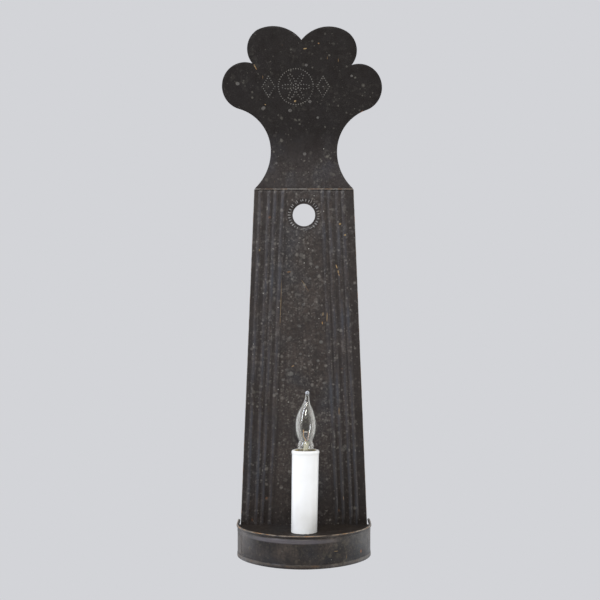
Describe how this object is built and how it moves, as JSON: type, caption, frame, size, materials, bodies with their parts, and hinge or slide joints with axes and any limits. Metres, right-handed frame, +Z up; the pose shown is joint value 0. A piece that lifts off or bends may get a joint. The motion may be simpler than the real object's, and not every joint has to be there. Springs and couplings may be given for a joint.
{
  "type": "wall sconce",
  "caption": "Tall fluted tin wall sconce with a lobed crest, a hanging hole and a half-round tray that carries a white candle sleeve and a small clear flame-tip lamp.",
  "frame": {"origin": "centre of the hanging hole, on the back face of the back plate", "axes": "+Z up, +X to the right as one faces the sconce, +Y into the wall"},
  "size_m": [0.138, 0.078, 0.451],
  "materials": {
    "aged_tin": "blackened tin with a dull, speckled patina",
    "steel_wire": "plain drawn wire",
    "zinc_steel": "zinc plated, satin",
    "brass": "plain, slightly dulled",
    "phenolic": "moulded, low gloss",
    "black_nylon": "moulded, matt",
    "black_insulation": "wire insulation, satin",
    "white_insulation": "wire insulation, satin",
    "wire_nut_plastic": "moulded, satin",
    "kraft_card": "dull",
    "candle_white": "white, satin",
    "clear_glass": "clear, thin, polished",
    "black_glass": "black vitrified glass",
    "solder": "dull solder",
    "copper_wire": "plain copper-coated wire",
    "tungsten": "dark coiled wire"
  },
  "bodies": {
    "sconce": {"crest_plate": "aged_tin", "back_plate": "aged_tin", "tray_band": "aged_tin", "rim_wire": "steel_wire", "tray_floor": "aged_tin", "tray_bottom": "aged_tin", "wire_bushing": "black_nylon", "threaded_nipple": "zinc_steel", "lock_washer": "zinc_steel", "locknut": "zinc_steel", "socket_bracket": "zinc_steel", "socket_rivet": "brass", "socket_body": "phenolic", "socket_screw_shell": "brass", "socket_center_contact": "brass", "insulating_sleeve": "kraft_card", "lead_black": "black_insulation", "lead_white": "white_insulation", "wire_nuts": "wire_nut_plastic"},
    "candle_cover": {"candle_cover": "candle_white"},
    "lamp_contact": {"cap_contact": "solder"},
    "lamp": {"bulb_glass": "clear_glass", "bulb_cap": "brass", "cap_insulator": "black_glass", "bulb_stem": "clear_glass", "support_wires": "copper_wire", "filament": "tungsten"}
  },
  "joints": [
    {"name": "cover_lift", "type": "slide", "parent": "sconce", "child": "candle_cover", "axis": [0, 0, 1], "range_m": [0, 0.12]},
    {"name": "lamp_rise", "type": "slide", "parent": "sconce", "child": "lamp_contact", "axis": [0, 0, 1], "range_m": [0, 0.01271]},
    {"name": "lamp_turn", "type": "hinge", "parent": "lamp_contact", "child": "lamp", "pos_m": [0.0008, -0.0375, -0.2085], "axis": [0, 0, 1], "range_deg": [0, 1800]}
  ],
  "couplings": [
    {"joint": "lamp_rise", "follows": "lamp_turn", "m_per_rad": 0.00040425}
  ]
}
